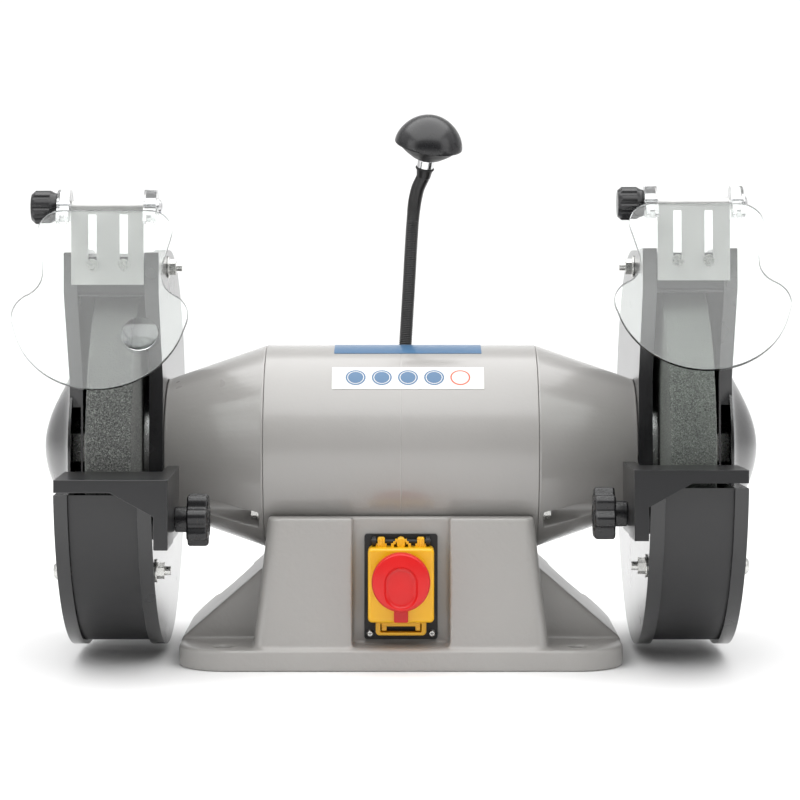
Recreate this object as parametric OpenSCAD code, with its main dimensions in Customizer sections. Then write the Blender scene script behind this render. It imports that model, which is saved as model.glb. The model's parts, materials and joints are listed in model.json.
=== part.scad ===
// Bench grinder with two 250 mm wheels, guards, tool rests, eye shields,
// a safety switch and a flexible work lamp.
// +X is to the right, +Y to the back, +Z up; the origin is on the bench, under the motor's middle.

/* [Base] */
// Height of the spindle axis above the bench
axis_h = 151; // [149:1:156]
// Width of the foot plate
foot_w = 317; // [310:1:324]
// Depth of the foot plate
foot_d = 186; // [184:1:200]
// Thickness of the foot plate
foot_t = 15; // [12:1:18]
// Corner radius of the foot plate
foot_corner_r = 37; // [20:1:40]
// Height of the column's top edge
column_top = 106; // [104:1:108]
// Depth of the recess plane that carries the switch, in front of the axis
recess_y = 66; // [64:1:68]
// Spacing of the bench bolts along X
bench_bolt_x = 252; // [240:1:260]
// Spacing of the bench bolts along Y
bench_bolt_y = 142; // [136:1:148]
// Diameter of the bench bolt holes
bench_hole_d = 13; // [11:0.5:14]

/* [Motor] */
// Outer radius of the motor housing
motor_r = 74; // [72:1:76]
// Half length of the motor housing
motor_half = 98; // [96:1:100]
// Radius of each end bell where it meets its guard
bell_end_r = 49.5; // [48:0.5:52]
// Angle below the front horizontal of the lower tie bolts
tie_angle = 43; // [40:1:48]

/* [Wheels] */
// Diameter of each grinding wheel
wheel_d = 250; // [240:1:250]
// Width of each grinding wheel
wheel_w = 32; // [28:1:32]
// Distance from the middle to the inner side of each wheel
wheel_x = 186; // [186:0.5:188]
// Diameter of the wheel flanges
flange_d = 88; // [80:1:90]

/* [Guards] */
// Outer radius of the guard rims
guard_r = 144; // [143:0.5:146]
// Distance from the middle to the inner guard wall
guard_x = 170.6; // [170:0.1:171]
// Distance from the middle to the face of the outer cover
cover_x = 237.5; // [237:0.5:240]
// Thickness of the guard walls
guard_wall = 3; // [2:0.5:4]
// How far the guard band sits in from the rims
band_inset = 3; // [2:0.5:4]
// Angle of the right guard about the spindle, relative to the left one
guard_turn = -2; // [-4:0.5:0]
// Height of the spindle dome on the outer cover
dome_h = 24.2; // [20:0.1:26]
// Radius of the spindle dome
dome_r = 65; // [60:1:70]

/* [Tool rests] */
// Height of the rest's top plane below the spindle axis
rest_drop = 7; // [5:0.5:9]
// Depth of the rest plate
rest_depth = 60; // [50:1:66]
// Thickness of the rest plate
rest_t = 8.7; // [7:0.1:10]
// Travel of the rest away from the wheel
rest_travel = 20; // [10:1:20]

/* [Eye shields] */
// Height of the shield's rod above the spindle axis
rod_z = 175; // [174:0.5:178]
// Tilt of the left shield from upright
shield_tilt_left = 28; // [16:1:60]
// Tilt of the right shield from upright
shield_tilt_right = 33; // [16:1:60]
// Thickness of the clear shields
shield_t = 3; // [2:0.5:4]

/* [Switch] */
// Width of the switch plate
switch_w = 52; // [50:1:54]
// Height of the switch plate
switch_h = 74.7; // [70:0.1:78]
// Diameter of the stop mushroom
mushroom_d = 41; // [36:1:42]
// Height of the mushroom's centre above the bench
mushroom_z = 64.5; // [62:0.5:66]

/* [Lamp] */
// Radius of the flexible neck
neck_r = 5; // [4:0.5:5.5]
// Radius of the lamp shade's rim
shade_r = 25.5; // [22:0.5:27]
// Height of the shade's dome
shade_h = 22; // [18:0.5:24]

/* [Hidden] */

grey = [0.66, 0.65, 0.63];
black = [0.06, 0.06, 0.065];
steel = [0.72, 0.72, 0.73];
eps = 0.01;
far = 400;
fine = 128;
round_fn = 64;

// Base
flank_front = 40;
flank_back = 78;
flank_top = 71.4;
bolt_well_r = 14;
gland_at = [-60, 40];
saddle_at = [74, 22];
cover_bolt = [93, 77];
wire_hole_x = 70;
switch_screw_x = 22;
window_x = 22;

// Motor and bells
housing_wall = 5;
bell_x = guard_x - 1.6;
seat_r = 31;
seat_x = 142;
bearing_w = 16;
shaft_seat_r = 15;
spindle_r = 12.7;
tie_r = 63;
tie_head_x = motor_half + 4;
tie_angles = [180 + tie_angle, 360 - tie_angle, 45];
pocket_r = 8;
pocket_wall = 2.8;
spigot_r = 30;

// Guards, in side view: Y is across and Z is up, both from the spindle axis
mouth_low = -22;
mouth_back = -52;
mouth_knee = 51;
nose_low = 114;
nose_front = -85;
nose_drop = 1.3;
mouth_lean = atan((mouth_back - nose_front) / (nose_low - mouth_knee));
rim_w = 10;
band_t = 1.6;
bolt_ring_r = 132.5;
bolt_angles = [96, 216, 336];
mount_ring_r = 39;
band_x = guard_x + rim_w;
cover_rim_x = cover_x - rim_w + 0.5;

// Tool rests
rest_in = 155.2;
rest_out = 231.4;
leg_in = 156.4;
leg_out = 164.8;
rest_back = -127.5;
rest_rib_back = -144;
rest_front = rest_back - rest_depth;
leg_back = -84;
leg_low = -54;
knob_y = -118;
knob_z = -41;
star_in = 132.8;
star_out = 147.4;
stud_r = 4;
slot_play = 0.3;
boss_x = 165.1;

// Eye shields
bracket_x = [181, 232];
bracket_back = nose_front - 0.3;
bracket_t = 1.8;
bracket_low = 120;
rod_r = 3;
curl_r = 4.7;
rod_y = bracket_back - bracket_t + curl_r - 0.2;
slot_x = [195, 217];
slot_r = 2.9;
slot_low = 130.9;
bracket_screw_z = 134;
knuckle_w = 9;
knuckle_r = 12.6;
side_gap = 0.3;
shield_off = 12;
shield_x = 206.2;
lens_at = [178, -106];
lens_r = 12.5;

// Switch
plate_t = 2.5;
plate_z = 19.3 + switch_h / 2;
switch_screw_z = plate_z - 33.2;
plate_y = -recess_y - plate_t;
lid_x = 23.3;
lid_z = [33.6, 86];
lid_back = plate_y - 1.2;
lid_front = -87;
lid_wall = 2;
hinge_z = 89.5;
hinge_y = plate_y - 6.5;
pin_r = 1.5;
lug_w = 3;
lug_r = 3;
button_front = plate_y - 4.5;
stem_r = 6;
stem_z = mushroom_z - 10;

// Lamp: the neck's middle line, from the socket to the collar
lamp_y = 46;
neck_base = [3, lamp_y, 221];
neck_joint_a = [5.6, lamp_y, 262];
neck_joint_b = [8.8, lamp_y, 316];
neck_bend = [11.8, lamp_y - 2, 338];
neck_end = [17, lamp_y - 5, 350.6];
joint_gap = 1.5;
head_lean = 18;
head_roll = 9;

// A 2-D outline with Y across and Z up becomes a solid that runs along X
module along_x(from, length) {
  translate([from, 0, 0]) rotate([90, 0, 90]) linear_extrude(length) children();
}

// A profile of [radius, X] points turned about the X axis
module turned(points, fn = fine) {
  rotate([0, 90, 0]) rotate_extrude($fn = fn) polygon(points);
}

module rod_x(r, from, to, fn = round_fn) {
  translate([from, 0, 0]) rotate([0, 90, 0]) cylinder(r = r, h = to - from, $fn = fn);
}

module rod_y_dir(r, from, to, fn = round_fn) {
  translate([0, to, 0]) rotate([90, 0, 0]) cylinder(r = r, h = to - from, $fn = fn);
}

module axis_frame(side = 1) {
  translate([0, 0, axis_h]) mirror([side < 0 ? 1 : 0, 0, 0]) children();
}

module guard_frame(side) {
  translate([0, 0, axis_h]) rotate([side > 0 ? guard_turn : 0, 0, 0])
    mirror([side < 0 ? 1 : 0, 0, 0]) children();
}

module both() {
  for (side = [-1, 1]) axis_frame(side) children();
}

module at_ring(r, angle) {
  translate([0, r * cos(angle), r * sin(angle)]) children();
}

module round_rect(w, h, r) {
  difference() {
    square([w, h], center = true);
    for (sx = [-1, 1], sy = [-1, 1])
      translate([sx * w / 2, sy * h / 2]) square(2 * r, center = true);
  }
  for (sx = [-1, 1], sy = [-1, 1])
    translate([sx * (w / 2 - r), sy * (h / 2 - r)]) circle(r, $fn = round_fn);
}

// ---- base ----

module column_block(bottom, top, low, high, r) {
  hull() {
    for (sx = [-1, 1], sy = [-1, 1]) {
      translate([sx * (bottom[0] - r), sy * (bottom[1] - r), low]) cylinder(r = r, h = eps, $fn = 32);
      translate([sx * (top[0] - r), sy * (top[1] - r), high - eps]) cylinder(r = r, h = eps, $fn = 32);
    }
  }
}

// A sloped flank of the column, trimmed to the foot's outline, with a well over its rear bench bolt
module flank(side) {
  end = foot_w / 2 - 1;
  difference() {
    intersection() {
      mirror([side < 0 ? 1 : 0, 0, 0]) translate([0, flank_back, 0]) rotate([90, 0, 0])
        linear_extrude(flank_back + flank_front)
          polygon([[80, 8], [end, 8], [end, foot_t + 1.3], [94, flank_top], [80, flank_top]]);
      linear_extrude(column_top) round_rect(foot_w - 2, foot_d - 2, foot_corner_r - 1);
    }
    translate([side * bench_bolt_x / 2, bench_bolt_y / 2, foot_t])
      cylinder(r = bolt_well_r, h = 60, $fn = round_fn);
  }
}

module base_casting() {
  color(grey) difference() {
    union() {
      linear_extrude(foot_t) round_rect(foot_w, foot_d, foot_corner_r);
      column_block([104.5, 90], [94.5, 74], foot_t - 3, column_top, 9);
      flank(-1);
      flank(1);
      translate([gland_at[0], 0, gland_at[1]]) rod_y_dir(14, 70, 89);
    }
    axis_frame() rod_x(motor_r + 0.05, -far, far, fine);
    difference() {
      column_block([86, 72], [83, 63], -1, 68, 6);
      translate([-41, -100, -2]) cube([82, 40, 80]);
    }
    translate([0, 0, -1]) linear_extrude(4) square([200, 166], center = true);
    translate([-34.5, -far - recess_y, 16]) cube([69, far, far]);
    translate([-window_x, -recess_y - 1, 27.5]) cube([2 * window_x, 14, 62.5]);
    translate([-window_x, -60, 40]) cube([2 * window_x, 16, 48]);
    translate([gland_at[0], 0, gland_at[1]]) rod_y_dir(8.1, 60, 100);
    for (sx = [-1, 1], sy = [-1, 1]) {
      translate([sx * bench_bolt_x / 2, sy * bench_bolt_y / 2, -1])
        cylinder(d = bench_hole_d, h = foot_t + 2, $fn = round_fn);
      translate([sx * saddle_at[0], sy * saddle_at[1], 60]) cylinder(r = 4.2, h = 30, $fn = round_fn);
      translate([sx * cover_bolt[0], sy * cover_bolt[1], 2]) cylinder(r = 1.6, h = 8, $fn = 32);
    }
    translate([wire_hole_x, 0, 60]) cylinder(r = 5, h = 30, $fn = 32);
    for (sx = [-1, 1])
      translate([sx * switch_screw_x, 0, switch_screw_z])
        rod_y_dir(1.9, -recess_y - 2, -recess_y + 9, 32);
  }
}

module base_cover_plate() {
  color(steel) difference() {
    translate([0, 0, 1]) linear_extrude(1.9) square([199, 165], center = true);
    for (sx = [-1, 1], sy = [-1, 1])
      translate([sx * cover_bolt[0], sy * cover_bolt[1], 0]) cylinder(r = 2, h = 4, $fn = 32);
  }
}

module panel_screws() {
  color(steel) {
    for (sx = [-1, 1], sy = [-1, 1]) translate([sx * cover_bolt[0], sy * cover_bolt[1], 0]) {
      translate([0, 0, 0.2]) cylinder(r = 3.2, h = 0.8, $fn = 32);
      translate([0, 0, 0.5]) cylinder(r = 1.55, h = 8, $fn = 32);
    }
    for (s = [-1, 1]) translate([s * switch_screw_x, 0, switch_screw_z]) {
      rod_y_dir(1.8, plate_y - 1, -recess_y + 8, 32);
      translate([0, plate_y - 0.02, 0]) rotate([90, 0, 0])
        cylinder(r1 = 2.85, r2 = 1.8, h = 1.7, $fn = 32);
    }
  }
}

module cable_gland() {
  color(black) translate([gland_at[0], 0, gland_at[1]]) difference() {
    union() {
      rod_y_dir(8, 60, 90);
      translate([0, 96, 0]) rotate([90, 0, 0]) cylinder(r = 12, h = 6.9, $fn = 6);
      rod_y_dir(9.5, 95, 106);
      rod_y_dir(12, 60, 64.8);
    }
    rod_y_dir(4, 50, 120);
  }
}

module capacitor() {
  color([0.75, 0.75, 0.72]) translate([-10, 38, 21.8]) {
    rod_x(17.5, 0, 72);
    rod_x(4, 71, 76, 32);
  }
}

module capacitor_clamp() {
  color(steel) translate([16, 38, 21.8]) {
    difference() {
      rod_x(19, 0, 14);
      rod_x(17.6, -1, 15);
      translate([-1, -30, -30]) cube([16, 60, 12.5]);
    }
    for (y = [-23, 6.5]) translate([0, y, -18.7]) cube([14, 16.5, 2.2]);
  }
}

module terminal_block() {
  color([0.9, 0.88, 0.8]) translate([-74, 10, 3]) difference() {
    cube([16, 54, 15]);
    for (i = [0:4]) translate([8, 7 + i * 10, 8]) cylinder(r = 2.6, h = 8, $fn = 32);
  }
}

// ---- motor ----

module motor_housing() {
  color(grey) difference() {
    axis_frame() rod_x(motor_r, -motor_half, motor_half, fine);
    axis_frame() rod_x(motor_r - housing_wall, -far, far, fine);
    for (sx = [-1, 1], sy = [-1, 1])
      translate([sx * saddle_at[0], sy * saddle_at[1], 70]) cylinder(r = 4.1, h = 30, $fn = round_fn);
    translate([wire_hole_x, 0, 70]) cylinder(r = 5, h = 30, $fn = 32);
    translate([neck_base[0], lamp_y, axis_h]) cylinder(r = 3, h = 100, $fn = 32);
  }
}

module end_bell(side) {
  inner = motor_r - 10;
  shoulder = seat_x + bearing_w + (side < 0 ? 1.8 : 0.05);
  color(grey) axis_frame(side) difference() {
    union() {
      turned([
        [inner, motor_half - 8], [motor_r - housing_wall - 0.1, motor_half - 8],
        [motor_r - housing_wall - 0.1, motor_half], [motor_r, motor_half],
        [bell_end_r, bell_x], [bell_end_r, guard_x], [spigot_r, guard_x], [spigot_r, guard_x + 3.4],
        [17, guard_x + 3.4], [17, 163], [27, 163], [27, shoulder],
        [seat_r + 0.02, shoulder], [seat_r + 0.02, seat_x],
        [38, seat_x], [38, 160], [46.5, 160], [inner, motor_half + 11]
      ]);
      intersection() {
        turned([[0, motor_half], [motor_r, motor_half], [bell_end_r, bell_x], [0, bell_x]]);
        for (a = tie_angles) at_ring(tie_r, a) rod_x(pocket_r + pocket_wall, motor_half + 1, 166);
      }
    }
    for (a = tie_angles) {
      rotate([a, 0, 0]) along_x(tie_head_x, 70) {
        translate([tie_r, 0]) circle(pocket_r, $fn = round_fn);
        translate([tie_r, -pocket_r]) square([40, 2 * pocket_r]);
      }
      at_ring(tie_r, a) rod_x(3.2, 80, 120);
    }
    for (a = [45:90:315]) at_ring(mount_ring_r, a + (side > 0 ? guard_turn : 0)) rod_x(3, 158, 175);
  }
}

module motor_bolts() {
  color(steel) {
    translate([0, 0, axis_h]) for (a = tie_angles) at_ring(tie_r, a) {
      rod_x(3, -tie_head_x - 4, tie_head_x + 4, 32);
      for (s = [-1, 1]) mirror([s < 0 ? 1 : 0, 0, 0]) {
        rod_x(6.3, tie_head_x, tie_head_x + 1.2, 32);
        rod_x(5.6, tie_head_x + 1, tie_head_x + 5.6, 6);
      }
    }
    for (sx = [-1, 1], sy = [-1, 1]) translate([sx * saddle_at[0], sy * saddle_at[1], 0]) {
      translate([0, 0, 62]) cylinder(r = 7.2, h = 6, $fn = 6);
      translate([0, 0, 67]) cylinder(r = 4, h = 26, $fn = round_fn);
      translate([0, 0, 89]) cylinder(r = 7.2, h = 5, $fn = 6);
    }
  }
}

module stator_core() {
  color([0.45, 0.45, 0.46]) axis_frame() difference() {
    rod_x(motor_r - housing_wall - 0.05, -42, 42, fine);
    rod_x(40, -50, 50, fine);
    for (a = tie_angles) at_ring(tie_r, a) rod_x(3.4, -50, 50, 32);
  }
}

module stator_windings() {
  color([0.7, 0.4, 0.2]) both() turned([
    [43, 42.1], [58, 42.1], [59, 50], [58, 60], [54, 64], [48, 64], [44, 60]
  ]);
}

module bearing_ring(inner, outer, groove) {
  difference() {
    turned([[inner, seat_x], [outer, seat_x], [outer, seat_x + bearing_w], [inner, seat_x + bearing_w]]);
    translate([seat_x + bearing_w / 2, 0, 0]) rotate([0, 90, 0])
      rotate_extrude($fn = fine) translate([23, 0]) circle(groove, $fn = 32);
  }
}

module bearing_outer_rings() {
  color(steel) both() bearing_ring(26, seat_r, 4.6);
}

module bearing_inner_rings() {
  color(steel) both() bearing_ring(shaft_seat_r, 20, 4.6);
}

module bearing_balls() {
  color(steel) both() translate([seat_x + bearing_w / 2, 0, 0]) {
    for (i = [0:8]) at_ring(23, i * 40) sphere(4.4, $fn = 48);
    difference() {
      rod_x(24.2, -3, 3);
      rod_x(21.8, -4, 4);
    }
  }
}

module wave_spring() {
  color(steel) axis_frame(-1) difference() {
    rod_x(30, seat_x + bearing_w + 0.1, seat_x + bearing_w + 1.6);
    rod_x(27.5, seat_x, seat_x + bearing_w + 3);
  }
}

// A thin label that follows the housing, between two angles above the front horizontal
module housing_label(low, high, width, centre) {
  translate([centre, 0, axis_h]) rotate([-low, 0, 0]) rotate([0, 90, 0]) rotate([0, 0, -90])
    rotate_extrude(angle = high - low, $fn = fine)
      translate([motor_r + 0.02, -width / 2]) square([0.3, width]);
}

module housing_labels() {
  color([0.13, 0.3, 0.5]) housing_label(69, 100, 107, 5);
  color([0.93, 0.93, 0.92]) housing_label(37.7, 54, 109, 5);
}

// ---- spindle ----

module spindle_shaft() {
  color(steel) axis_frame() turned([
    [0, -246], [11.5, -246], [spindle_r, -244.6], [spindle_r, -179.1], [14, -179.1], [14, -164],
    [shaft_seat_r - 0.01, -164], [shaft_seat_r - 0.01, -seat_x], [17.5, -seat_x],
    [17.5, seat_x], [shaft_seat_r - 0.01, seat_x], [shaft_seat_r - 0.01, 164],
    [14, 164], [14, 179.1], [spindle_r, 179.1], [spindle_r, 244.6], [11.5, 246], [0, 246]
  ]);
}

module rotor() {
  color([0.5, 0.5, 0.5]) axis_frame() difference() {
    union() {
      rod_x(39.4, -43, 43, fine);
      rod_x(36, -52, 52, fine);
    }
    rod_x(17.52, -60, 60, fine);
  }
}

module grinding_wheel(side, tint) {
  color(tint) axis_frame(side) turned([
    [16.05, wheel_x], [wheel_d / 2 - 1, wheel_x], [wheel_d / 2, wheel_x + 1],
    [wheel_d / 2, wheel_x + wheel_w - 1], [wheel_d / 2 - 1, wheel_x + wheel_w],
    [16.05, wheel_x + wheel_w]
  ]);
}

module wheel_flanges() {
  color(steel) both() {
    turned([
      [spindle_r + 0.02, 179.2], [flange_d / 2 - 1, 179.2], [flange_d / 2, 180.2],
      [flange_d / 2, wheel_x - 0.4], [16, wheel_x - 0.4], [16, wheel_x + 24],
      [spindle_r + 0.02, wheel_x + 24]
    ]);
    turned([
      [spindle_r + 0.02, wheel_x + wheel_w + 0.4], [flange_d / 2, wheel_x + wheel_w + 0.4],
      [flange_d / 2, wheel_x + wheel_w + 5], [26, wheel_x + wheel_w + 8],
      [spindle_r + 0.02, wheel_x + wheel_w + 8]
    ]);
  }
}

module wheel_blotters() {
  color([0.8, 0.3, 0.2]) both() for (x = [wheel_x - 0.38, wheel_x + wheel_w + 0.02]) difference() {
    rod_x(48, x, x + 0.36, fine);
    rod_x(16.1, x - 1, x + 1, fine);
  }
}

module spindle_nuts() {
  color(steel) both() difference() {
    translate([wheel_x + wheel_w + 8.1, 0, 0]) rotate([0, 90, 0]) cylinder(r = 20.8, h = 14, $fn = 6);
    rod_x(spindle_r + 0.02, 200, 260);
  }
}

// ---- guards ----

// The opening for the work, grown by d into the guard
function mouth(d) = [
  [-2 * guard_r, mouth_low - d],
  [mouth_back + d, mouth_low - d],
  [mouth_back + d, mouth_knee + d * tan(mouth_lean / 2)],
  [nose_front + d, nose_low + d * tan(mouth_lean / 2)],
  [nose_front + d, guard_r],
  [-2 * guard_r, guard_r]
];

// The guard's full side outline, shrunk by d: a disc with a squared nose at the top front
module guard_disc(d) {
  circle(guard_r - d, $fn = fine);
  translate([nose_front + d, 0]) square([-nose_front - d, guard_r - nose_drop - d]);
}

module guard_side(d) {
  difference() {
    guard_disc(d);
    polygon(mouth(d));
  }
}

module bolt_holes(r, from, to) {
  for (a = bolt_angles) at_ring(bolt_ring_r, a) rod_x(r, from, to);
}

module guard_inner(side) {
  color(black) guard_frame(side) difference() {
    union() {
      along_x(guard_x, rim_w) guard_side(0);
      translate([0, knob_y, knob_z]) rod_x(14, boss_x, guard_x + 1);
    }
    along_x(guard_x + guard_wall, far) guard_side(guard_wall);
    rod_x(spigot_r + 0.2, 160, 180, fine);
    bolt_holes(3.2, 160, 180);
    for (a = [45:90:315]) at_ring(mount_ring_r, a) rod_x(3.2, 160, 180);
    translate([0, knob_y, knob_z]) rod_x(stud_r + 0.06, 160, 180);
  }
}

module guard_band(side) {
  color(black) guard_frame(side) difference() {
    along_x(band_x + 0.05, cover_rim_x - band_x - 0.1) difference() {
      guard_disc(band_inset);
      guard_disc(band_inset + band_t);
      polygon(mouth(0));
    }
    for (x = slot_x) translate([x, 0, bracket_screw_z]) rod_y_dir(2.6, nose_front - 5, nose_front + 12);
  }
}

module dome(r0, h, base, low) {
  steps = 14;
  turned(concat(
    [[0, low], [r0, low]],
    [for (i = [0:steps]) let (r = r0 * (1 - i / steps)) [r, base + h * pow(1 - pow(r / r0, 2), 1.5)]]
  ));
}

module guard_cover(side) {
  color(black) guard_frame(side) difference() {
    union() {
      along_x(cover_rim_x, cover_x - cover_rim_x) guard_side(0);
      dome(dome_r, dome_h, cover_x - 0.2, cover_x - 2);
    }
    along_x(cover_rim_x - 1, cover_x - cover_rim_x - guard_wall + 1) guard_side(guard_wall);
    dome(dome_r - 4, dome_h - 1, cover_x - 1.8, cover_x - 8);
    bolt_holes(3.2, 220, 250);
  }
}

module guard_bolts() {
  color(steel) for (side = [-1, 1]) guard_frame(side) for (a = bolt_angles) at_ring(bolt_ring_r, a) {
    rod_x(3, 160, cover_x + 1);
    rod_x(8, guard_x - 1.3, guard_x - 0.02, 32);
    translate([guard_x - 6.2, 0, 0]) rotate([0, 90, 0]) cylinder(r = 5.8, h = 5, $fn = 6);
    turned([
      [0, cover_x + 0.02], [6.2, cover_x + 0.02], [6.2, cover_x + 1.6],
      [4.4, cover_x + 3.8], [0, cover_x + 4.4]
    ], 48);
  }
}

module guard_screws() {
  color(steel) for (side = [-1, 1]) guard_frame(side) {
    for (a = [45:90:315]) at_ring(mount_ring_r, a) {
      rod_x(2.9, 161, guard_x + guard_wall + 1);
      rod_x(4.8, guard_x + guard_wall + 0.02, guard_x + guard_wall + 3, 48);
    }
    for (x = slot_x) translate([x, 0, bracket_screw_z]) {
      rod_y_dir(2.5, bracket_back - bracket_t - 1, nose_front + 10);
      rod_y_dir(4.2, bracket_back - bracket_t - 2.8, bracket_back - bracket_t - 0.3);
      rod_y_dir(4.6, nose_front + 5.6, nose_front + 9.6, 6);
    }
  }
}

module port_cap() {
  color(black) guard_frame(-1) translate([0, 40, -106]) {
    rod_x(10, cover_x + 0.02, cover_x + 4);
    rod_x(8, cover_x + 3, cover_x + 15);
  }
}

// ---- tool rests ----

module rest_slot(r, from, to) {
  for (y = [knob_y, knob_y + rest_travel]) translate([0, y, knob_z]) rod_x(r, from, to);
  translate([from, knob_y, knob_z - r]) cube([to - from, rest_travel, 2 * r]);
}

module tool_rest(side) {
  top = -rest_drop;
  color(black) guard_frame(side) difference() {
    union() {
      translate([rest_in, rest_front, top - rest_t]) cube([rest_out - rest_in, rest_depth, rest_t]);
      translate([0, rest_rib_back, 0]) rotate([90, 0, 0]) linear_extrude(rest_rib_back - rest_front)
        polygon([
          [rest_in, top - 1], [rest_out, top - 1], [rest_out, top - rest_t], [194, top - rest_t],
          [leg_out, -31.7], [leg_out, leg_low], [rest_in, leg_low]
        ]);
      translate([leg_in, rest_rib_back - 1, leg_low])
        cube([leg_out - leg_in, leg_back - rest_rib_back + 1, top - leg_low]);
    }
    rest_slot(stud_r + slot_play, 150, 168);
  }
}

module rest_knob(side) {
  lobes = 7;
  lobe_ring = 13.2;
  lobe_r = 5.2;
  color(black) guard_frame(side) translate([0, knob_y, knob_z]) {
    rod_x(14, star_in, star_out);
    for (i = [0:lobes - 1])
      at_ring(lobe_ring, i * 360 / lobes) rod_x(lobe_r, star_in + 0.6, star_out - 0.4, 32);
    rod_x(9, star_out - 1, leg_in - 0.3);
    rod_x(stud_r, star_out, guard_x + guard_wall + 3);
  }
}

// ---- eye shields ----

module shield_bracket(side) {
  color(steel) guard_frame(side) difference() {
    union() {
      translate([bracket_x[0], bracket_back - bracket_t, bracket_low])
        cube([bracket_x[1] - bracket_x[0], bracket_t, rod_z - bracket_low]);
      translate([0, rod_y, rod_z]) rod_x(curl_r, bracket_x[0], bracket_x[1]);
    }
    translate([0, rod_y, rod_z]) rod_x(rod_r + 0.05, 100, far);
    for (x = slot_x) {
      translate([x, 0, slot_low + slot_r]) rod_y_dir(slot_r, bracket_back - 5, bracket_back + 1);
      translate([x - slot_r, bracket_back - 5, slot_low + slot_r])
        cube([2 * slot_r, 6, rod_z - 5.5 - slot_low - slot_r]);
    }
  }
}

module shield_rod(side) {
  inner = bracket_x[0] - side_gap - knuckle_w;
  outer = bracket_x[1] + side_gap + knuckle_w;
  head = side < 0 ? inner - side_gap : outer + side_gap;
  dir = side < 0 ? -1 : 1;
  from = side < 0 ? head - 0.5 : 160;
  to = side < 0 ? 254 : head + 0.5;
  color(steel) guard_frame(side) translate([0, rod_y, rod_z]) {
    rod_x(rod_r, from, to);
    translate([head, 0, 0]) mirror([dir < 0 ? 1 : 0, 0, 0])
      turned([[0, 0], [6.3, 0], [6.1, 1], [4.6, 2.6], [2.4, 3.4], [0, 3.6]], 48);
  }
}

module shield_knob(side) {
  inner = bracket_x[0] - 2 * side_gap - knuckle_w;
  outer = bracket_x[1] + 2 * side_gap + knuckle_w;
  flutes = 10;
  color(black) guard_frame(side) translate([side < 0 ? outer : inner, rod_y, rod_z])
    mirror([side < 0 ? 0 : 1, 0, 0]) difference() {
      turned([[rod_r + 0.05, 0], [9.6, 0], [10.6, 3], [11.8, 5], [11.8, 15.5], [9.4, 18.4], [0, 18.4],
        [0, 14.4], [rod_r + 0.05, 14.4]]);
      for (i = [0:flutes - 1]) at_ring(13.4, i * 360 / flutes) rod_x(2.8, 5, 20, 32);
    }
}

// A pear: a small rounded top that carries the knuckles, a waist and a wide round bottom
module shield_outline() {
  offset(r = -18) offset(r = 18) {
    hull() for (s = [-1, 1]) {
      translate([s * 30, -27]) circle(17);
      translate([s * 27.2, -52]) circle(14);
    }
    translate([-41.2, -80]) square([82.4, 28]);
    hull() {
      for (s = [-1, 1]) translate([s * 42.5, -92]) circle(18);
      intersection() {
        translate([0, -87]) circle(60);
        translate([-80, -160]) square([160, 70]);
      }
    }
  }
}

module tilted(side) {
  guard_frame(side) translate([0, rod_y, rod_z])
    rotate([side < 0 ? -shield_tilt_left : -shield_tilt_right, 0, 0]) children();
}

module eye_shield(side) {
  color([0.85, 0.93, 0.95, 0.4]) tilted(side)
    translate([shield_x, -shield_off, 0]) rotate([90, 0, 0])
      linear_extrude(shield_t) shield_outline($fn = 96);
}

// Two split blocks that turn on the rod and are bonded to the back of the shield
module shield_knuckles(side) {
  color([0.85, 0.93, 0.95, 0.4]) tilted(side)
    for (x = [bracket_x[0] - side_gap - knuckle_w, bracket_x[1] + side_gap]) difference() {
      union() {
        rod_x(knuckle_r, x, x + knuckle_w);
        translate([x, -shield_off + 0.02, -18]) cube([knuckle_w, 5, 18]);
      }
      rod_x(rod_r + 0.06, x - 1, x + knuckle_w + 1);
      translate([x + 3, -shield_off - 1, -20]) cube([knuckle_w - 6, 8, 7]);
      translate([x - 1, -shield_off - 5, -30]) cube([knuckle_w + 2, 5.02, 23]);
    }
}

// A plano-convex lens, flat towards the shield
module magnifier_lens() {
  steps = 10;
  color([0.8, 0.9, 0.95, 0.5]) tilted(-1)
    translate([lens_at[0], -shield_off - shield_t - 0.02, lens_at[1]]) rotate([90, 0, 0])
      rotate_extrude($fn = round_fn) polygon(concat(
        [[0, 0], [lens_r, 0]],
        [for (i = [0:steps]) let (u = 1 - i / steps) [lens_r * u, 0.8 + 2.8 * (1 - u * u)]]
      ));
}

// ---- switch ----

module switch_plate() {
  color(black) difference() {
    union() {
      translate([0, -recess_y - 0.02, plate_z]) rotate([90, 0, 0])
        linear_extrude(plate_t) round_rect(switch_w, switch_h, 2);
      for (from = [-17.5 - lug_w, 17.5]) {
        translate([0, hinge_y, hinge_z]) rod_x(lug_r, from, from + lug_w, 32);
        translate([from, hinge_y, hinge_z - lug_r]) cube([lug_w, -recess_y - 1 - hinge_y, 2 * lug_r]);
      }
    }
    translate([-14, plate_y - 1, 38]) cube([28, 6, 44]);
    for (s = [-1, 1]) translate([s * switch_screw_x, 0, switch_screw_z]) rod_y_dir(1.9, -80, -60, 32);
    translate([0, hinge_y, hinge_z]) rod_x(pin_r + 0.02, -30, 30, 32);
  }
}

module lid_hinge_pin() {
  color(steel) translate([0, hinge_y, hinge_z]) rod_x(pin_r, -21, 21, 32);
}

module switch_block() {
  color(black) difference() {
    union() {
      translate([-21, -recess_y + 0.1, 28.5]) cube([42, 10, 60.5]);
      translate([-21, -57, 28.5]) cube([42, 25, 32.5]);
    }
    translate([-10, -recess_y - 1, 38.5]) cube([20, 9, 20]);
    translate([-10, -recess_y - 1, 61.5]) cube([20, 9, 20]);
  }
}

module push_button(z, tint) {
  color(tint) {
    translate([-9.5, button_front, z - 9.5]) cube([19, -recess_y + 1 - button_front, 19]);
    translate([0, 0, z]) rod_y_dir(4, -recess_y, -recess_y + 3, 32);
  }
}

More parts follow.
